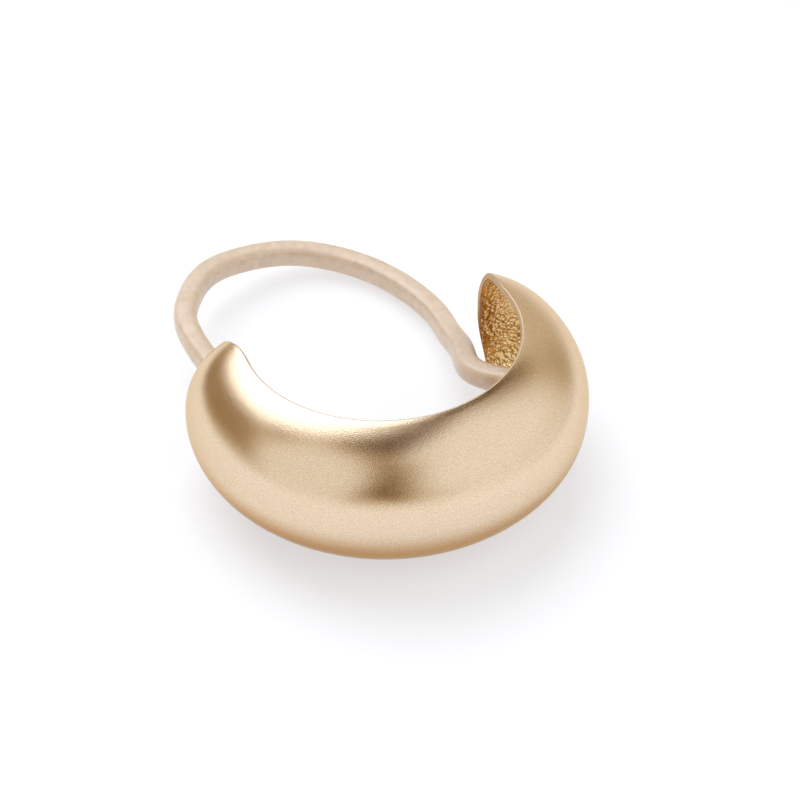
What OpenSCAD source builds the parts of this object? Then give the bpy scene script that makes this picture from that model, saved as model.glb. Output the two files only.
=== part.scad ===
// Ponytail cuff: a domed, C-shaped metal shell, hollow and open on its inner
// side, with one covered elastic cord that closes the C behind.
// Millimetres. Z points up, and the cuff lies on its side on the plane z = 0.
// The origin is the middle of the hair hole, on that plane. The dome faces -Y.

/* [Shell] */
// Width of the shell, from side to side
shell_w = 53.2; // [46:0.2:60]
// Height of the shell from rim to rim, at its sides
rim_h = 21; // [18:0.5:23]
// Height that the round outside would reach if no rims cut it
round_h = 27.6; // [25:0.2:34]
// Roundness of the outside from rim to rim, where 2 is an ellipse
round_power = 2.3; // [2:0.05:2.8]
// Slope of each rim in degrees, which makes the front taller than the sides
rim_slope = 1.6; // [0:0.1:4]
// Thickness of the metal wall
wall = 0.8; // [0.6:0.1:1.2]

/* [Arms] */
// Angle from the front at which an arm starts to narrow
arm_start = 92; // [80:1:100]
// Angle from the front at which an arm ends
arm_end = 125; // [115:1:132]
// How late along the arm it narrows
taper_power = 3.6; // [2.5:0.1:5]
// How full the end of an arm is, where 2 is an ellipse
tip_power = 2.3; // [1.8:0.1:3]
// Height of the small blunt edge that ends an arm
tip_h = 1.2; // [0.8:0.1:2]
// How far the end of an arm curls in, as a share of its distance from the middle
curl = 0.16; // [0:0.01:0.22]
// How late along the arm it curls in
curl_power = 4; // [3:0.5:6]

/* [Cord cups] */
// Angle from the front of the two cups that hold the cord
cup_angle = 76; // [66:1:82]
// Depth of the hole in a cup
cup_depth = 3.5; // [3:0.1:4]
// Thickness of a cup's round wall
cup_wall = 0.9; // [0.7:0.1:1.2]
// Thickness of metal between a cup's hole and the shell's wall
cup_floor = 1; // [0.8:0.1:1.4]
// How deep the foot of a cup is soldered into the shell's wall
cup_seat = 0.35; // [0.25:0.05:0.4]

/* [Elastic cord] */
// Diameter of the covered elastic cord
cord_d = 3.5; // [3:0.1:3.8]
// Room between the cord and the hole of its cup, all round
cord_room = 0.15; // [0.1:0.05:0.3]
// How far the cord runs straight on from the mouth of a cup before it bends
cord_lead = 1.8; // [1:0.1:3]

/* [Hidden] */
gold = [0.83, 0.7, 0.5];
nude = [0.87, 0.75, 0.64];

// Fineness: stations along the front and along an arm, points across the wall,
// sides of the round cups and of the cord, and rings in each span of the cord
front_steps = 15;
arm_steps = 15;
across_steps = 13;
round_sides = 48;
cord_sides = 8;
rings_per_span = 2;

// Sizes worked out from the ones above
ring_r = shell_w / 2;
rim_r = ring_r * sqrt(1 - pow(rim_h / round_h, round_power));
middle_z = rim_h / 2 * cos(rim_slope);
arm_turn = (arm_end - arm_start) * PI / 180;
last_phase = acos(pow(tip_h / rim_h, tip_power / 2));
seat_r = ring_r - wall;
mouth_r = seat_r - cup_floor - cup_depth;
bore_d = cord_d + 2 * cord_room;
cup_d = bore_d + 2 * cup_wall;
cord_end_r = mouth_r + cup_depth - cord_room;

// Points that the middle of the cord is drawn towards, from the left cup, round
// behind the shell and down to the surface, to the right cup
cord_route = [
    [-15, -2.5, 10],
    [-12, 3, 7],
    [-14.5, 10.5, 5],
    [-18, 18, 6.5],
    [-19, 25, 8],
    [-18, 29.5, 7.5],
    [-13.5, 36.5, 6.5],
    [-8.5, 40, 5],
    [-0.5, 41.5, 3.5],
    [5.5, 40, 2.5],
    [11, 35.5, 2],
    [14.5, 29.5, 2],
    [16.5, 21.5, 2.5],
    [15.5, 16, 3.5],
    [15.5, 10.5, 5.5],
    [12.5, 3, 8.5],
    [15.5, -2.5, 10.5],
];

function unit(v) = v / norm(v);

// A point given by its distance from the middle, its angle from the front and
// its height above the middle, once the shell lies on its lower rim
function lying(r, angle, z) = let(y = -r * cos(angle)) [
    r * sin(angle),
    y * cos(rim_slope) + z * sin(rim_slope),
    middle_z - y * sin(rim_slope) + z * cos(rim_slope),
];

// The shell's outside. Along an arm, share runs from 0 where it starts to
// narrow to 1 at its end.
function arm_share(angle) = max(0, (abs(angle) - arm_start) / (arm_end - arm_start));
function curl_in(angle) = 1 - curl * pow(arm_share(angle), curl_power);
function curl_slope(angle) = -sign(angle) * curl * curl_power / arm_turn
    * pow(arm_share(angle), curl_power - 1);
function swell(z) = sqrt(1 - pow(abs(2 * z / round_h), round_power));
function swell_slope(z) = -sign(z) * round_power / round_h
    * pow(abs(2 * z / round_h), round_power - 1) / swell(z);

// Height of the rim's sloping plane over a point at a distance r
function rim_plane(r, angle) = rim_h / 2 + tan(rim_slope) * r * cos(angle);

// Half of the shell's height: on the rim's plane in front, and falling away in
// a full curve along each arm
function half_height(angle) =
    rim_plane(ring_r * swell(rim_plane(rim_r, angle)), angle)
    * pow(max(0, 1 - pow(arm_share(angle), taper_power)), 1 / tip_power);

// A point of the outside moved in by depth, square to the surface
function wall_point(angle, z, depth) = let(
    r = ring_r * swell(z) * curl_in(angle),
    out = curl_in(angle),
    along = -curl_slope(angle),
    up = -ring_r * swell_slope(z) * curl_in(angle) * curl_in(angle),
    move = depth / norm([out, along, up]),
    flat = [r - move * out, -move * along],
    turn = atan2(flat[1], flat[0])
) lying(norm(flat), angle + turn, z - move * up);

// One section of the wall: up its outside, then back down its inside
function wall_section(angle) = let(h = half_height(angle)) [
    for (side = [0, 1], i = [0:across_steps - 1])
        let(at = side == 0 ? i : across_steps - 1 - i)
        wall_point(angle, -h * cos(180 * at / (across_steps - 1)), side * wall),
];

// Stations from the end of the left arm, over the front, to the right arm's end
right_stations = concat(
    [for (i = [1:front_steps]) arm_start * i / front_steps],
    [for (i = [1:arm_steps])
        arm_start + (arm_end - arm_start)
            * pow(sin(last_phase * i / arm_steps), 2 / taper_power)]
);
stations = concat(
    [for (i = [len(right_stations) - 1:-1:0]) -right_stations[i]],
    [0],
    right_stations
);

// A body skinned over sections that all have the same number of points
function flatten(lists) = [for (list = lists, item = list) item];
function skin_faces(rows, n) = [
    for (i = [0:rows - 2], j = [0:n - 1])
        let(a = i * n + j, b = i * n + (j + 1) % n)
        each [[a, b, b + n], [a, b + n, a + n]],
];

// The end of a shell section, closed by a strip between its two sides
function strip_faces(first, n, flip) = [
    for (i = [0:n / 2 - 2])
        let(a = first + i, b = first + n - 1 - i)
        each (flip
            ? [[a, b, b - 1], [a, b - 1, a + 1]]
            : [[b, a, b - 1], [b - 1, a, a + 1]]),
];

module shell_wall() {
    sections = [for (angle = stations) wall_section(angle)];
    n = 2 * across_steps;
    rows = len(stations);
    polyhedron(
        points = flatten(sections),
        faces = concat(
            skin_faces(rows, n),
            strip_faces(0, n, true),
            strip_faces((rows - 1) * n, n, false)
        )
    );
}

// Lays out a cup's own axis, with its mouth at the origin and its foot up
module at_cup(side) {
    translate(lying(mouth_r, side * cup_angle, 0))
        rotate([rim_slope, 0, 0])
        rotate([0, 0, side * cup_angle - 90])
        rotate([0, 90, 0])
        children();
}

module cuff_shell() {
    color(gold)
    difference() {
        union() {
            shell_wall();
            for (side = [-1, 1])
                at_cup(side)
                cylinder(h = seat_r + cup_seat - mouth_r, d = cup_d, $fn = round_sides);
        }
        for (side = [-1, 1])
            at_cup(side)
            translate([0, 0, -cup_depth])
            cylinder(h = 2 * cup_depth, d = bore_d, $fn = round_sides);
    }
}

// The cord's middle line: a smooth curve drawn by its route, which starts and
// ends straight, in the cups
function cord_ends(side) = [
    lying(2 * cord_end_r - mouth_r, side * cup_angle, 0),
    lying(cord_end_r, side * cup_angle, 0),
    lying(mouth_r, side * cup_angle, 0),
    lying(mouth_r - cord_lead, side * cup_angle, 0),
];
function backwards(list) = [for (i = [len(list) - 1:-1:0]) list[i]];
cord_guides = concat(cord_ends(-1), cord_route, backwards(cord_ends(1)));
function curve_point(i, t) = (
    pow(1 - t, 3) * cord_guides[i]
    + (3 * pow(t, 3) - 6 * t * t + 4) * cord_guides[i + 1]
    + (-3 * pow(t, 3) + 3 * t * t + 3 * t + 1) * cord_guides[i + 2]
    + pow(t, 3) * cord_guides[i + 3]
) / 6;
cord_line = concat(
    [for (i = [0:len(cord_guides) - 4], k = [0:rings_per_span - 1])
        curve_point(i, k / rings_per_span)],
    [curve_point(len(cord_guides) - 4, 1)]
);

function cord_ring(i) = let(
    ahead = cord_line[min(i + 1, len(cord_line) - 1)],
    behind = cord_line[max(i - 1, 0)],
    forward = unit(ahead - behind),
    side = unit(cross(forward, [0, 0, 1])),
    up = cross(side, forward)
) [
    for (k = [0:cord_sides - 1])
        let(angle = -360 * k / cord_sides)
        cord_line[i] + cord_d / 2 * (cos(angle) * side + sin(angle) * up),
];

module elastic_loop() {
    rows = len(cord_line);
    color(nude)
    polyhedron(
        points = flatten([for (i = [0:rows - 1]) cord_ring(i)]),
        faces = concat(
            skin_faces(rows, cord_sides),
            [[for (k = [cord_sides - 1:-1:0]) k]],
            [[for (k = [0:cord_sides - 1]) (rows - 1) * cord_sides + k]]
        )
    );
}

cuff_shell();
elastic_loop();
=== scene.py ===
"""Looks of the ponytail cuff: a satin gold shell, rough inside, and its covered elastic.

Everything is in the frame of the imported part: Z up, the dome towards -Y. Sizes named in
millimetres are turned into metres by MM.
"""
import math

import bmesh
import bpy
import numpy as np
from mathutils import Matrix, Vector, noise


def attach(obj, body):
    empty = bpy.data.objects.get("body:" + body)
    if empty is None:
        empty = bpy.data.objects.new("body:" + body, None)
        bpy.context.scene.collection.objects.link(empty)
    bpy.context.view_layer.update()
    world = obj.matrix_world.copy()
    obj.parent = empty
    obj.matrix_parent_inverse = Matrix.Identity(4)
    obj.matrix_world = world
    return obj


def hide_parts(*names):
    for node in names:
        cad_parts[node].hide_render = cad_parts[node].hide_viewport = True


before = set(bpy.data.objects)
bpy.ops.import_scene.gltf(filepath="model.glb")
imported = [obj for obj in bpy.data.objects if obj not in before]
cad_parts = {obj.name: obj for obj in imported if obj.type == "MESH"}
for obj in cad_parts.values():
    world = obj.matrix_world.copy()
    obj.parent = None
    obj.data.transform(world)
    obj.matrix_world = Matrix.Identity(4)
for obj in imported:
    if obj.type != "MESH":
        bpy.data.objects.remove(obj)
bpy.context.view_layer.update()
MM = 0.001

# Shell, in millimetres and degrees turned to radians, as the part has it
RING_R = 26.6            # radius of the outside where it is widest
RIM_H = 21.0             # height from rim to rim at the sides
ROUND_H = 27.6           # height that the round outside would reach without rims
ROUND_POWER = 2.3
RIM_SLOPE = math.radians(1.6)
WALL = 0.8
ARM_START, ARM_END = math.radians(92), math.radians(125)
TAPER_POWER, TIP_POWER = 3.6, 2.3
TIP_H = 1.2
CURL, CURL_POWER = 0.16, 4
MIDDLE_Z = RIM_H / 2 * math.cos(RIM_SLOPE)

# Cord cups and cord, in millimetres
CUP_ANGLE = math.radians(76)
CUP_DEPTH, CUP_WALL, CUP_FLOOR = 3.5, 0.9, 1.0
CUP_EDGE = 0.2           # rounding of the mouth
CUP_FILLET = 0.7         # solder round the foot
CORD_D, CORD_ROOM, CORD_LEAD = 3.5, 0.15, 1.8
MOUTH_R = RING_R - WALL - CUP_FLOOR - CUP_DEPTH
CORD_END_R = MOUTH_R + CUP_DEPTH - CORD_ROOM
CORD_POWER = 3.0         # 2 for a round section; the sheath is pressed a little square
CORD_CORNER = 1.03       # how far its rounded corners reach, in half diameters

# Points that the middle of the cord is drawn towards, in metres, left cup to right cup
CORD_ROUTE = [
    (-0.015, -0.0025, 0.010),
    (-0.012, 0.003, 0.007),
    (-0.0145, 0.0105, 0.005),
    (-0.018, 0.018, 0.0065),
    (-0.019, 0.025, 0.008),
    (-0.018, 0.0295, 0.0075),
    (-0.0135, 0.0365, 0.0065),
    (-0.0085, 0.040, 0.005),
    (-0.0005, 0.0415, 0.0035),
    (0.0055, 0.040, 0.0025),
    (0.011, 0.0355, 0.002),
    (0.0145, 0.0295, 0.002),
    (0.0165, 0.0215, 0.0025),
    (0.0155, 0.016, 0.0035),
    (0.0155, 0.0105, 0.0055),
    (0.0125, 0.003, 0.0085),
    (0.0155, -0.0025, 0.0105),
]

# Small forms of the shell, in millimetres
EDGE_ROUND = 0.2
LIP = 0.1                # smooth band inside the rims, before the cast surface starts
CAST_RELIEF = 0.14

# Fineness of the meshes
FRONT_STATIONS, ARM_STATIONS = 165, 82
END_STATIONS = 7         # sections that round off the end of an arm
OUTSIDE_POINTS, CORNER_POINTS, INSIDE_POINTS = 36, 6, 100
ARM_TABLE, HEIGHT_TABLE = 4000, 2000
RELIEF_FADE = 40         # the relief rises over one part in so many, from rim to rim
END_FADE = 8             # and over so many sections from the end of an arm
CORD_RINGS, CORD_SIDES, SPLINE_STEPS = 700, 40, 40
CUP_SIDES, CUP_EDGE_POINTS, CUP_FILLET_POINTS = 64, 5, 6
SLIVER = 0.01            # millimetres; faces narrower than this are leftovers of a union


# Forms shared with the part

def lying(r, angle, z):
    """Points from their distance, angle from the front and height, on the leaned shell."""
    y = -r * np.cos(angle)
    return np.stack(np.broadcast_arrays(
        r * np.sin(angle),
        y * math.cos(RIM_SLOPE) + z * math.sin(RIM_SLOPE),
        MIDDLE_Z - y * math.sin(RIM_SLOPE) + z * math.cos(RIM_SLOPE),
    ), -1)


def arm_share(angle):
    return np.clip((np.abs(angle) - ARM_START) / (ARM_END - ARM_START), 0, None)


def curl_in(angle):
    return 1 - CURL * arm_share(angle) ** CURL_POWER


def curl_slope(angle):
    turn = ARM_END - ARM_START
    return -np.sign(angle) * CURL * CURL_POWER / turn * arm_share(angle) ** (CURL_POWER - 1)


def swell(z):
    return np.sqrt(1 - np.abs(2 * z / ROUND_H) ** ROUND_POWER)


def swell_slope(z):
    steep = np.abs(2 * z / ROUND_H) ** (ROUND_POWER - 1)
    return -np.sign(z) * ROUND_POWER / ROUND_H * steep / swell(z)


def half_height(angle):
    rim_r = RING_R * swell(RIM_H / 2)
    for _ in range(2):
        plane = RIM_H / 2 + math.tan(RIM_SLOPE) * rim_r * np.cos(angle)
        rim_r = RING_R * swell(plane)
    narrowing = np.clip(1 - arm_share(angle) ** TAPER_POWER, 0, None)
    return plane * narrowing ** (1 / TIP_POWER)


def wall_point(angle, z, depth):
    """Points of the outside, in millimetres, moved in by depth square to the surface."""
    out = curl_in(angle)
    r = RING_R * swell(z) * out
    along = -curl_slope(angle)
    up = -RING_R * swell_slope(z) * out * out
    move = depth / np.sqrt(out ** 2 + along ** 2 + up ** 2)
    flat = r - move * out, -move * along
    return lying(np.hypot(*flat), angle + np.arctan2(flat[1], flat[0]), z - move * up)


# Small helpers

def new_mesh(name, points, faces, slots=None, materials=()):
    mesh = bpy.data.meshes.new(name)
    mesh.from_pydata([tuple(p) for p in points], [], faces)
    for material in materials:
        mesh.materials.append(material)
    if slots is not None:
        mesh.polygons.foreach_set("material_index", slots)
    mesh.polygons.foreach_set("use_smooth", [True] * len(mesh.polygons))
    mesh.update()
    piece = bpy.data.objects.new(name, mesh)
    bpy.context.scene.collection.objects.link(piece)
    return piece


def spline(guides, steps):
    """A uniform cubic B-spline, drawn towards its guide points."""
    guides = np.array(guides, float)
    t = np.arange(steps)[:, None] / steps
    weights = [
        (1 - t) ** 3,
        3 * t ** 3 - 6 * t ** 2 + 4,
        -3 * t ** 3 + 3 * t ** 2 + 3 * t + 1,
        t ** 3,
    ]
    spans = [
        sum(w * guides[i + k] for k, w in enumerate(weights)) / 6
        for i in range(len(guides) - 3)
    ]
    last = (guides[-3] + 4 * guides[-2] + guides[-1]) / 6
    return np.concatenate(spans + [last[None]])


def evenly(points, count):
    """The same line with its points at equal steps, and its length."""
    along = np.r_[0, np.cumsum(np.linalg.norm(np.diff(points, axis=0), axis=1))]
    at = np.linspace(0, along[-1], count)
    return np.stack([np.interp(at, along, points[:, k]) for k in range(3)], -1), along[-1]


# Camera

def make_camera():
    """A long lens at the photo's angle, aimed at the middle of the ring."""
    yaw, elevation = math.radians(21.8), math.radians(42)
    distance = 0.5
    sensor, image_px, px_per_mm = 36.0, 800, 7.61
    middle_px = (386.5, 397.85)
    look = Vector((
        math.sin(yaw) * math.cos(elevation),
        math.cos(yaw) * math.cos(elevation),
        -math.sin(elevation),
    ))
    right = Vector((math.cos(yaw), -math.sin(yaw), 0))
    up = right.cross(look)
    data = bpy.data.cameras.new("camera")
    data.sensor_width = sensor
    data.lens = sensor * px_per_mm * (distance / MM) / image_px
    data.shift_x = (image_px / 2 - middle_px[0]) / image_px
    data.shift_y = -(image_px / 2 - middle_px[1]) / image_px
    data.clip_start = 0.01
    camera = bpy.data.objects.new("camera", data)
    turned = Matrix((right, up, -look)).transposed().to_4x4()
    stands = Vector((0, 0, MIDDLE_Z * MM)) - look * distance
    camera.matrix_world = Matrix.Translation(stands) @ turned
    bpy.context.scene.collection.objects.link(camera)
    bpy.context.scene.camera = camera


# Materials

# Sockets of a Mix node: of two colours and their mix, and of two numbers, their share and mix
COLOR_A, COLOR_B, COLOR_MIX = 6, 7, 2
NUMBER_SHARE, NUMBER_A, NUMBER_B, NUMBER_MIX = 0, 2, 3, 0


def shader_of(material):
    return material.node_tree.nodes["Principled BSDF"]


def new_material(name, color, metallic, roughness, **sockets):
    material = bpy.data.materials.new(name)
    material.use_nodes = True
    shader = shader_of(material)
    shader.inputs["Base Color"].default_value = (*color, 1)
    shader.inputs["Metallic"].default_value = metallic
    shader.inputs["Roughness"].default_value = roughness
    for socket, value in sockets.items():
        shader.inputs[socket.replace("_", " ")].default_value = value
    return material


def node(material, kind, links=(), **values):
    """Adds a node. links are (socket, from_node, from_socket); values set sockets or settings."""
    made = material.node_tree.nodes.new(kind)
    for key, value in values.items():
        label = key.replace("_", " ")
        if label in made.inputs:
            made.inputs[label].default_value = value
        else:
            setattr(made, key, value)
    for socket, source, output in links:
        material.node_tree.links.new(source.outputs[output], made.inputs[socket])
    return made


def to_shader(material, socket, source, output):
    material.node_tree.links.new(source.outputs[output], shader_of(material).inputs[socket])


# Painted shade: the share of red, green and blue that the gold keeps near the lower rim. It stands
# in for the shaded floor that the lower dome reflects.
PAINTED_SHADE_SHARE = (0.77, 0.59, 0.41)  # what the deeper tone keeps of red, green and blue


def grained_gold(name, rough, tints):
    """Bead-blasted gold: a very fine even grain, slightly uneven in colour and gloss, with painted
    shade towards the lower rim.
    """
    material = new_material(name, tints[0], 1, rough, Specular_Tint=(0.86, 0.76, 0.62, 1))
    where = node(material, "ShaderNodeTexCoord")
    grain = node(material, "ShaderNodeTexNoise", [("Vector", where, "Object")],
                 Scale=7500, Detail=0)
    bump = node(material, "ShaderNodeBump", [("Height", grain, "Fac")],
                Strength=0.8, Distance=0.000011)
    to_shader(material, "Normal", bump, "Normal")
    cloud = node(material, "ShaderNodeTexNoise", [("Vector", where, "Object")],
                 Scale=180, Detail=3, Roughness=0.6)
    gloss = node(material, "ShaderNodeMapRange", [("Value", cloud, "Fac")],
                 From_Min=0.3, From_Max=0.7, To_Min=rough * 0.93, To_Max=rough * 1.07)
    to_shader(material, "Roughness", gloss, "Result")
    tint = node(material, "ShaderNodeMix", [("Factor", cloud, "Fac")], data_type="RGBA")
    for socket, color in zip((COLOR_A, COLOR_B), tints):
        tint.inputs[socket].default_value = (*color, 1)
    # Painted shade: below mid-height, towards the rim that the cuff lies on, the colour turns a
    # deeper amber. It stands in for the shaded floor that the lower dome reflects.
    place = node(material, "ShaderNodeSeparateXYZ", [("Vector", where, "Object")])
    lower_shade_mask = node(material, "ShaderNodeMapRange", [("Value", place, "Z")],
               interpolation_type="SMOOTHSTEP", From_Min=0.0066, From_Max=0.0112,
               To_Min=1, To_Max=0)
    with_painted_shade = node(material, "ShaderNodeMix", [("Factor", lower_shade_mask, "Result"), (COLOR_A, tint, COLOR_MIX)],
                data_type="RGBA")
    deeper = [tone * share for tone, share in zip(tints[0], PAINTED_SHADE_SHARE)]
    with_painted_shade.inputs[COLOR_B].default_value = (*deeper, 1)
    # Each grain is a little lighter or darker than the next
    speckle = node(material, "ShaderNodeMapRange", [("Value", grain, "Fac")],
                   From_Min=0.3, From_Max=0.7, To_Min=0.9, To_Max=1.1)
    speckled = node(material, "ShaderNodeVectorMath",
                    [(0, with_painted_shade, COLOR_MIX), ("Scale", speckle, "Result")], operation="SCALE")
    to_shader(material, "Base Color", speckled, "Vector")
    return material


def satin_gold():
    return grained_gold("satin_gold", 0.2, ((0.76, 0.60, 0.425), (0.77, 0.615, 0.45)))


def rim_gold():
    """The rims, ground after casting: the same gold and duller. Their darker colour is painted
    reflection: the thin dark line of the dark room behind, seen in their rounded edges.
    """
    # Painted reflection: the darker rim colour draws the thin dark line along the rounded rims
    return grained_gold("rim_gold", 0.45, ((0.56, 0.42, 0.28), (0.60, 0.46, 0.31)))


def cast_gold():
    """The rough inside, left as it was cast: deeper gold in small round grains that glint."""
    material = new_material("cast_gold", (0.85, 0.58, 0.26), 1, 0.24)
    where = node(material, "ShaderNodeTexCoord")
    grains = node(material, "ShaderNodeTexVoronoi", [("Vector", where, "Object")], Scale=2000)
    rounded = node(material, "ShaderNodeMath",
                   [(0, grains, "Distance"), (1, grains, "Distance")], operation="MULTIPLY")
    ripple = node(material, "ShaderNodeTexNoise", [("Vector", where, "Object")],
                  Scale=3000, Detail=2, Roughness=0.55)
    domes = node(material, "ShaderNodeMapRange", [("Value", rounded, "Value")],
                 From_Min=0, From_Max=0.5, To_Min=1, To_Max=0)
    height = node(material, "ShaderNodeMix",
                  [(NUMBER_A, domes, "Result"), (NUMBER_B, ripple, "Fac")], data_type="FLOAT")
    height.inputs[NUMBER_SHARE].default_value = 0.4
    # The grains are flatter in some patches of a few millimetres
    patches = node(material, "ShaderNodeTexNoise", [("Vector", where, "Object")],
                   Scale=330, Detail=1, Roughness=0.5)
    relief = node(material, "ShaderNodeMapRange", [("Value", patches, "Fac")],
                  From_Min=0.4, From_Max=0.6, To_Min=0.35, To_Max=1)
    bump = node(material, "ShaderNodeBump",
                [("Height", height, NUMBER_MIX), ("Strength", relief, "Result")],
                Distance=0.00014)
    to_shader(material, "Normal", bump, "Normal")
    # Painted shade and highlight: the colour is darker in the pits between the grains and lighter
    # on their tops, where they glint
    tint = node(material, "ShaderNodeMix", [("Factor", height, NUMBER_MIX)], data_type="RGBA")
    tint.inputs[COLOR_A].default_value = (0.80, 0.51, 0.19, 1)
    tint.inputs[COLOR_B].default_value = (0.95, 0.76, 0.44, 1)
    to_shader(material, "Base Color", tint, COLOR_MIX)
    return material


THREAD_ANGLE = math.radians(32)


def nude_elastic():
    """A fine woven satin sheath: threads in two spiral directions and a soft sheen."""
    material = new_material("nude_elastic", (0.75, 0.58, 0.45), 0, 0.29,
                            IOR=1.7, Specular_IOR_Level=1.0, Sheen_Weight=0.2, Sheen_Roughness=0.4,
                            Subsurface_Weight=0.4, Subsurface_Scale=0.0012,
                            Subsurface_Radius=(1, 0.75, 0.6))
    lay = node(material, "ShaderNodeUVMap", uv_map="along_and_round")
    threads = []
    for turn in (1, -1):
        way = node(material, "ShaderNodeMapping", [("Vector", lay, "UV")])
        way.inputs["Rotation"].default_value = (0, 0, turn * THREAD_ANGLE)
        threads.append(node(material, "ShaderNodeTexWave", [("Vector", way, "Vector")],
                            Scale=1.5, Distortion=1.5, Detail=1, Detail_Scale=2))
    weave = node(material, "ShaderNodeMath",
                 [(0, threads[0], "Fac"), (1, threads[1], "Fac")], operation="MAXIMUM")
    bump = node(material, "ShaderNodeBump", [("Height", weave, "Value")],
                Strength=0.5, Distance=0.00005)
    to_shader(material, "Normal", bump, "Normal")
    where = node(material, "ShaderNodeTexCoord")
    mottle = node(material, "ShaderNodeTexNoise", [("Vector", where, "Object")],
                  Scale=900, Detail=4, Roughness=0.65)
    tint = node(material, "ShaderNodeMapRange", [("Value", mottle, "Fac")],
                From_Min=0.3, From_Max=0.7)
    color = node(material, "ShaderNodeMix", [("Factor", tint, "Result")], data_type="RGBA")
    color.inputs[COLOR_A].default_value = (0.62, 0.465, 0.32, 1)
    color.inputs[COLOR_B].default_value = (0.75, 0.595, 0.44, 1)
    to_shader(material, "Base Color", color, COLOR_MIX)
    return material


# Pieces

def cord_line():
    """The middle line of the cord in metres, straight inside the cups."""
    ends = [
        [
            lying(r, side * CUP_ANGLE, 0) * MM
            for r in (2 * CORD_END_R - MOUTH_R, CORD_END_R, MOUTH_R, MOUTH_R - CORD_LEAD)
        ]
        for side in (-1, 1)
    ]
    return spline(ends[0] + [np.array(p) for p in CORD_ROUTE] + ends[1][::-1], SPLINE_STEPS)


def make_elastic(material):
    """The covered elastic, a tube along the route, with its length and girth as UV."""
    rings, sides = CORD_RINGS, CORD_SIDES
    path, length = evenly(cord_line(), rings)
    tangent = np.gradient(path, axis=0)
    tangent /= np.linalg.norm(tangent, axis=1)[:, None]
    side = np.cross(tangent, [0, 0, 1.0])
    side /= np.linalg.norm(side, axis=1)[:, None]
    up = np.cross(side, tangent)
    turn = np.arange(sides) * 2 * math.pi / sides
    squared = (np.abs(np.cos(turn)) ** CORD_POWER
               + np.abs(np.sin(turn)) ** CORD_POWER) ** (-1 / CORD_POWER)
    radius = squared / squared.max() * CORD_CORNER * CORD_D / 2 * MM
    points = (
        path[:, None]
        + (radius * np.cos(turn))[None, :, None] * side[:, None]
        + (radius * np.sin(turn))[None, :, None] * up[:, None]
    ).reshape(-1, 3)
    faces = [
        (i * sides + j, i * sides + (j + 1) % sides,
         (i + 1) * sides + (j + 1) % sides, (i + 1) * sides + j)
        for i in range(rings - 1) for j in range(sides)
    ]
    faces.append(tuple(range(sides - 1, -1, -1)))
    faces.append(tuple((rings - 1) * sides + j for j in range(sides)))
    piece = new_mesh("covered_elastic", points, faces, materials=[material])
    layer = piece.data.uv_layers.new(name="along_and_round")
    ring_mm, side_mm = length / MM / (rings - 1), CORD_D * math.pi / sides
    uv = []
    for i in range(rings - 1):
        for j in range(sides):
            uv += [i, j, i, j + 1, i + 1, j + 1, i + 1, j]
    uv += [0, 0] * (2 * sides)
    uv = np.array(uv, float).reshape(-1, 2) * (ring_mm, side_mm)
    layer.data.foreach_set("uv", uv.ravel())
    facing_out(piece)
    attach(piece, "root")
    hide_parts("elastic_loop")
    tuple(lying(MOUTH_R, -CUP_ANGLE, 0) * MM)


def shell_stations():
    """Angles of the sections, evenly spaced along the front and along an arm's edge."""
    end = ARM_END - EDGE_ROUND / (RING_R * (1 - CURL))
    fine = ARM_START + (end - ARM_START) * np.sin(np.linspace(0, math.pi / 2, ARM_TABLE))
    step = np.hypot(RING_R * np.diff(fine), np.diff(half_height(fine)))
    along = np.r_[0, np.cumsum(step)]
    arm = np.interp(np.linspace(0, along[-1], ARM_STATIONS + 1)[1:], along, fine)
    right = np.r_[np.linspace(0, ARM_START, FRONT_STATIONS + 1)[1:], arm]
    return np.r_[-right[::-1], 0, right]


def surface_length():
    """A table of height against length along the outside, from the middle past the rims."""
    past_rims = 0.85
    z = np.linspace(0, ROUND_H / 2 * past_rims, HEIGHT_TABLE)
    step = np.diff(z) * np.hypot(1, RING_R * swell_slope((z[1:] + z[:-1]) / 2))
    return z, np.r_[0, np.cumsum(step)]


def cast_height(points):
    """Relief of the cast inside, from 0 to 1: lumps of about half a millimetre."""
    lumps_per_mm, waves_per_mm = 1.6, 2.3
    steepness, share = 1.25, 0.7
    out = np.empty(len(points))
    for i, p in enumerate(points):
        here = Vector(p)
        nearest = noise.voronoi(here * lumps_per_mm)[0][0]
        lump = math.sqrt(max(0, 1 - (nearest * steepness) ** 2))
        wave = 0.5 + 0.5 * noise.noise(here * waves_per_mm)
        out[i] = share * lump + (1 - share) * wave
    return out


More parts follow.
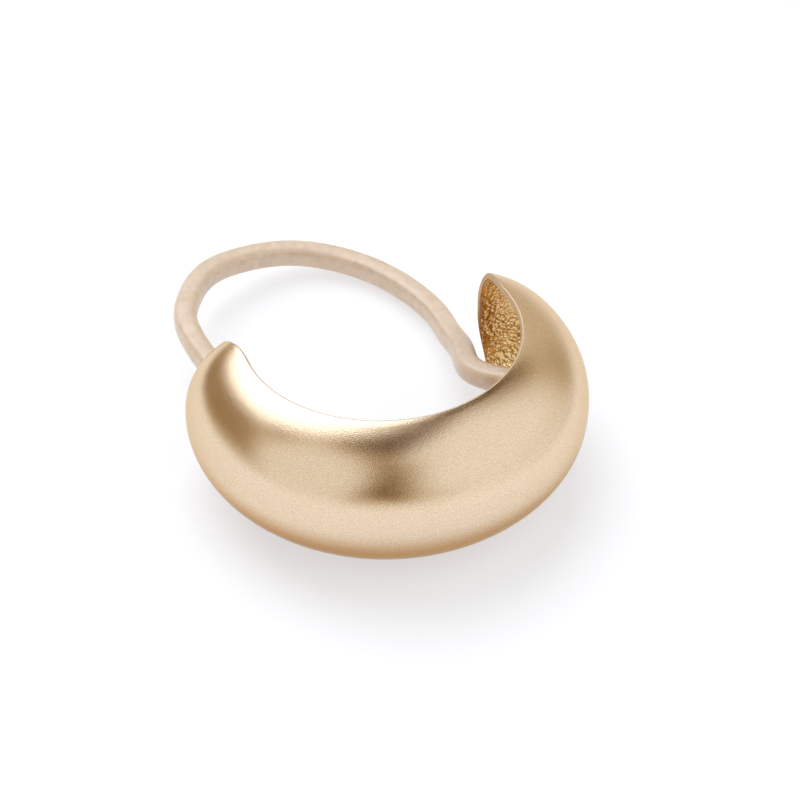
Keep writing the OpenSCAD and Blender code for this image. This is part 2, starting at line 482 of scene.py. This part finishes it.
def make_shell(outside, inside, rims):
    """The domed shell with rounded rims and its cast inside in relief."""
    angles = shell_stations()
    z_table, s_table = surface_length()
    quarter = np.linspace(0, math.pi / 2, CORNER_POINTS)

    def section(angle, inset):
        """Heights and depths once round: up the outside, over, down the inside, under."""
        h = max(float(half_height(np.array(angle))), TIP_H / 2)
        stretch = math.hypot(1, RING_R * float(swell_slope(np.array(h))))
        corner = min(EDGE_ROUND / stretch, 0.45 * h)
        top = np.interp(h - corner, z_table, s_table)

        def up(count):
            at = top * np.linspace(-1, 1, count)
            return np.sign(at) * np.interp(np.abs(at), s_table, z_table)

        over_z = h - corner + corner * np.sin(quarter[1:])
        over_d = inset + (EDGE_ROUND - inset) * (1 - np.cos(quarter[1:]))
        z = np.concatenate([
            up(OUTSIDE_POINTS), over_z, over_z[::-1],
            up(INSIDE_POINTS)[::-1], -over_z, -over_z[::-1],
        ])
        d = np.concatenate([
            np.full(OUTSIDE_POINTS, inset), over_d, WALL - over_d[::-1],
            np.full(INSIDE_POINTS, WALL - inset), WALL - over_d, over_d[::-1],
        ])
        return z, d

    sections = [section(a, 0.0) for a in angles]
    places = list(angles)
    for turn in np.linspace(0, math.pi / 2, END_STATIONS + 1)[1:]:
        inset = EDGE_ROUND * (1 - math.cos(turn))
        place = angles[-1] + EDGE_ROUND * math.sin(turn) / (RING_R * (1 - CURL))
        sections = [section(-place, inset), *sections, section(place, inset)]
        places = [-place, *places, place]
    z = np.array([s[0] for s in sections])
    d = np.array([s[1] for s in sections])
    where = np.array(places)[:, None]
    rows, n = z.shape
    first = OUTSIDE_POINTS + 2 * (CORNER_POINTS - 1)
    last = first + INSIDE_POINTS

    # Relief, which fades towards the rims and the ends of the arms
    inner = wall_point(where, z, d)[:, first:last]
    relief = cast_height(inner.reshape(-1, 3)).reshape(rows, INSIDE_POINTS)
    span = np.linspace(0, 1, INSIDE_POINTS)
    fade = np.clip(np.minimum(span, 1 - span) * RELIEF_FADE, 0, 1)[None, :]
    row = np.arange(rows)
    end = np.clip(np.minimum(row, row[::-1]) / END_FADE, 0, 1)[:, None]
    d[:, first:last] += CAST_RELIEF * (0.5 - relief) * fade * end
    points = wall_point(where, z, d).reshape(-1, 3) * MM

    # Which material each face gets: 0 outside, 1 inside, 2 the rims and the ends of the arms
    lip_turn = LIP / (RING_R * (1 - CURL))
    edge_z = z.max(1)[:, None] - LIP / np.hypot(1, RING_R * swell_slope(z.max(1)))[:, None]
    rough = (np.abs(z) < edge_z) & (np.abs(where) < ARM_END - lip_turn)
    rough &= (np.arange(n) >= first) & (np.arange(n) < last)
    side = np.arange(n)
    rim = ((side >= OUTSIDE_POINTS - 1) & (side < first)) | (side >= n - (first - OUTSIDE_POINTS))
    slot_of = np.where(rough, 1, np.where(rim[None, :], 2, 0))
    slot_of[:END_STATIONS] = slot_of[-END_STATIONS - 1:] = 2
    faces, slots = [], []
    for i in range(rows - 1):
        for j in range(n):
            a, b = i * n + j, i * n + (j + 1) % n
            faces.append((a, a + n, b + n, b))
            slots.append(int(slot_of[i, j]))
    faces.append(tuple(range(n)))
    faces.append(tuple((rows - 1) * n + j for j in range(n - 1, -1, -1)))
    slots += [2, 2]
    return new_mesh("satin_shell", points, faces, slots, [outside, inside, rims])


def make_cup(side, material):
    """A round cup along the cord's end, with a rounded mouth and a soldered foot."""
    bore = CORD_D / 2 + CORD_ROOM
    outer = bore + CUP_WALL
    middle = bore * 0.02  # the flat ends are closed by a face just round the axis
    seat = RING_R - WALL - MOUTH_R
    foot_top, sunk = seat - 0.25, seat + 0.2  # the foot goes a little into the wall
    quarter = np.linspace(0, math.pi / 2, CUP_EDGE_POINTS)
    round_in = [
        (bore + CUP_EDGE * (1 - math.cos(a)), CUP_EDGE * (1 - math.sin(a))) for a in quarter
    ]
    round_out = [
        (outer - CUP_EDGE * (1 - math.sin(a)), CUP_EDGE * (1 - math.cos(a))) for a in quarter
    ]
    foot = [
        (outer + CUP_FILLET * (1 - math.cos(a)), foot_top - CUP_FILLET * (1 - math.sin(a)))
        for a in np.linspace(0, math.pi / 2, CUP_FILLET_POINTS)
    ]
    profile = [
        (middle, CUP_DEPTH), (bore, CUP_DEPTH), *round_in, *round_out, *foot,
        (outer + CUP_FILLET * 0.9, seat + 0.1), (middle, sunk),
    ]
    sides = CUP_SIDES
    direction = lying(1.0, side * CUP_ANGLE, 0) - lying(0.0, side * CUP_ANGLE, 0)
    across = np.cross(direction, [0, 0, 1.0])
    across /= np.linalg.norm(across)
    up = np.cross(across, direction)
    mouth = lying(MOUTH_R, side * CUP_ANGLE, 0)
    points = [
        (mouth + t * direction + r * (math.cos(a) * across + math.sin(a) * up)) * MM
        for r, t in profile for a in np.arange(sides) * 2 * math.pi / sides
    ]
    faces = [
        (i * sides + j, (i + 1) * sides + j, (i + 1) * sides + (j + 1) % sides,
         i * sides + (j + 1) % sides)
        for i in range(len(profile) - 1) for j in range(sides)
    ]
    faces.append(tuple(range(sides)))
    faces.append(tuple((len(profile) - 1) * sides + j for j in range(sides - 1, -1, -1)))
    return new_mesh("cup", points, faces, materials=[material])


def facing_out(piece):
    """Turns the faces outwards, so that the mesh is a closed solid."""
    work = bmesh.new()
    work.from_mesh(piece.data)
    bmesh.ops.recalc_face_normals(work, faces=work.faces)
    work.to_mesh(piece.data)
    work.free()


def join_solids(piece, others):
    """Makes one closed solid of them all and removes the others."""
    for other in others:
        union = piece.modifiers.new("union", "BOOLEAN")
        union.operation = "UNION"
        union.solver = "EXACT"
        union.object = other
        bpy.context.view_layer.objects.active = piece
        with bpy.context.temp_override(object=piece, active_object=piece):
            bpy.ops.object.modifier_apply(modifier=union.name)
        bpy.data.objects.remove(other)

    # The unions leave slivers a few thousandths of a millimetre wide
    work = bmesh.new()
    work.from_mesh(piece.data)
    bmesh.ops.triangulate(work, faces=[face for face in work.faces if len(face.verts) > 4])
    bmesh.ops.dissolve_degenerate(work, edges=work.edges, dist=SLIVER * MM)
    work.to_mesh(piece.data)
    work.free()


# Stage and light

FLOOR_COLOR = (0.55, 0.53, 0.53)
# Painted shade: the floor's colour darkens towards this one far to the right and back, as if away
# from the lights
FAR_SHADE_COLOR = (0.26, 0.2, 0.15)  # far to the right and back, outside the picture
FAR_WAY = (0.79, 0.62, 0)
FAR_START, FAR_END = 0.07, 0.22  # metres along that way
FLOOR_HALF = 3.0


def make_floor():
    """A pale floor with a faint glow, which keeps the shadows light, and painted shade that
    darkens it far to the right and back.
    """
    material = new_material("floor", FLOOR_COLOR, 0, 0.7,
                            Emission_Color=(0.92, 1, 1.08, 1), Emission_Strength=0.5)
    where = node(material, "ShaderNodeTexCoord")
    away = node(material, "ShaderNodeVectorMath", [(0, where, "Object")],
                operation="DOT_PRODUCT")
    away.inputs[1].default_value = FAR_WAY
    fall = node(material, "ShaderNodeMapRange", [("Value", away, "Value")],
                interpolation_type="SMOOTHSTEP", From_Min=FAR_START, From_Max=FAR_END,
                To_Min=0, To_Max=1)
    # Painted shade: the colour fades to the darker far colour along FAR_WAY
    dimmer = node(material, "ShaderNodeMix", [("Factor", fall, "Result")], data_type="RGBA")
    dimmer.inputs[COLOR_A].default_value = (*FLOOR_COLOR, 1)
    dimmer.inputs[COLOR_B].default_value = (*FAR_SHADE_COLOR, 1)
    to_shader(material, "Base Color", dimmer, COLOR_MIX)
    corners = [
        (x * FLOOR_HALF, y * FLOOR_HALF, 0) for x, y in ((-1, -1), (1, -1), (1, 1), (-1, 1))
    ]
    new_mesh("floor", corners, [(0, 1, 2, 3)], materials=[material])


# The studio, on a map of the sky in degrees from straight up: y runs towards the camera's
# side and x to its right. Each row is laid over the ones before it.
STUDIO_FRONT = math.radians(-21.8)
STUDIO = (
    # name, x, y, half width, half height, turn, softness of the edge, light
    ("dim back of the room", 0, -110, 115, 62, 0, 0.3, 0.74),
    ("dark room on the left", -60, -34, 21, 56, 10, 0.5, 0.37),
    ("dark room on the right", 52, -60, 26, 77, -7, 0.6, 0.70),
    ("brown patch on the right", 57, -54, 12, 15, 20, 0.6, 0.55),
    ("dark gap round the softbox", -15, 0, 58, 26, -52, 0.09, 0.11),
    ("round softbox", -17, -36, 32, 36, 0, 0.2, 2.5),
    ("dark wall at the back", -12, -88, 26, 30, 0, 0.25, 0.35),
    ("dark gap on the right", 25, -26, 22, 9, -42, 0.39, 0.1),
    ("camera stand", -3, 43, 17, 31, -21, 0.06, 0.5),
    ("camera", 5, 49, 23, 33, 77, 0.8, 0.18),
    ("right card", 44, 14, 26, 52, 24, 0.44, 1.04),
    ("left card", -40, 34, 33, 33, 0, 0.25, 0.96),
)
SURROUND = 1.08
WARMTH = (1, 1.35, 2.0)  # powers that make the darker parts of the studio warmer
COOLNESS = (1, 1.08, 1.2)  # the tint of what is brighter than that


def make_studio():
    """White surroundings with a round softbox overhead, cards at the sides and dark gaps."""
    world = bpy.data.worlds.new("studio")
    world.use_nodes = True
    where = node(world, "ShaderNodeTexCoord")
    parts = node(world, "ShaderNodeSeparateXYZ", [("Vector", where, "Generated")])
    down = node(world, "ShaderNodeMath", [(0, parts, "Z")], operation="ARCCOSINE")
    degrees = node(world, "ShaderNodeMath", [(0, down, "Value")], operation="DEGREES")
    level = node(world, "ShaderNodeVectorMath", [(0, where, "Generated")], operation="MULTIPLY")
    level.inputs[1].default_value = (1, 1, 0)
    heading = node(world, "ShaderNodeVectorMath", [(0, level, "Vector")], operation="NORMALIZE")
    front = (math.sin(STUDIO_FRONT), -math.cos(STUDIO_FRONT), 0)
    right = (math.cos(STUDIO_FRONT), math.sin(STUDIO_FRONT), 0)
    axes = []
    for axis in (right, front):
        along = node(world, "ShaderNodeVectorMath", [(0, heading, "Vector")],
                     operation="DOT_PRODUCT")
        along.inputs[1].default_value = axis
        axes.append(node(world, "ShaderNodeMath", [(0, along, "Value"), (1, degrees, "Value")],
                         operation="MULTIPLY"))
    sky = node(world, "ShaderNodeCombineXYZ", [("X", axes[0], "Value"), ("Y", axes[1], "Value")])
    light = node(world, "ShaderNodeValue")
    light.outputs[0].default_value = SURROUND
    for name, x, y, wide, high, turn, soft, value in STUDIO:
        place = node(world, "ShaderNodeMapping", [("Vector", sky, "Vector")],
                     vector_type="TEXTURE", label=name)
        place.inputs["Location"].default_value = (x, y, 0)
        place.inputs["Rotation"].default_value = (0, 0, math.radians(turn))
        place.inputs["Scale"].default_value = (wide, high, 1)
        reach = node(world, "ShaderNodeVectorMath", [(0, place, "Vector")], operation="LENGTH")
        mask = node(world, "ShaderNodeMapRange", [("Value", reach, "Value")],
                    interpolation_type="SMOOTHSTEP", From_Min=1 - soft, From_Max=1 + soft,
                    To_Min=1, To_Max=0)
        light = node(world, "ShaderNodeMix",
                     [(NUMBER_SHARE, mask, "Result"), (NUMBER_A, light, NUMBER_MIX)],
                     data_type="FLOAT")
        light.inputs[NUMBER_B].default_value = value

    # Light up to 1 gets warmer as it gets darker, and what is above 1 gets the cool tint
    dim = node(world, "ShaderNodeMath", [(0, light, 0)], operation="MINIMUM")
    bright = node(world, "ShaderNodeMath", [(0, light, 0)], operation="MAXIMUM")
    color = node(world, "ShaderNodeCombineColor")
    excess = node(world, "ShaderNodeMath", [(0, bright, "Value")], operation="SUBTRACT")
    for channel, (power, cool) in enumerate(zip(WARMTH, COOLNESS)):
        warm = node(world, "ShaderNodeMath", [(0, dim, "Value")], operation="POWER")
        warm.inputs[1].default_value = power
        both = node(world, "ShaderNodeMath", [(0, excess, "Value"), (2, warm, "Value")],
                    operation="MULTIPLY_ADD")
        both.inputs[1].default_value = cool
        world.node_tree.links.new(both.outputs[0], color.inputs[channel])
    for limit in (dim, bright, excess):
        limit.inputs[1].default_value = 1
    background = world.node_tree.nodes["Background"]
    world.node_tree.links.new(color.outputs[0], background.inputs["Color"])
    background.inputs["Strength"].default_value = 1.0
    bpy.context.scene.world = world
    bpy.context.scene.view_settings.view_transform = "Standard"


make_camera()
make_elastic(nude_elastic())
gold, cast = satin_gold(), cast_gold()
shell = make_shell(gold, cast, rim_gold())
facing_out(shell)
cups = [make_cup(side, cast) for side in (-1, 1)]
for cup in cups:
    facing_out(cup)
join_solids(shell, cups)
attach(shell, "root")
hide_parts("cuff_shell")
make_floor()
make_studio()
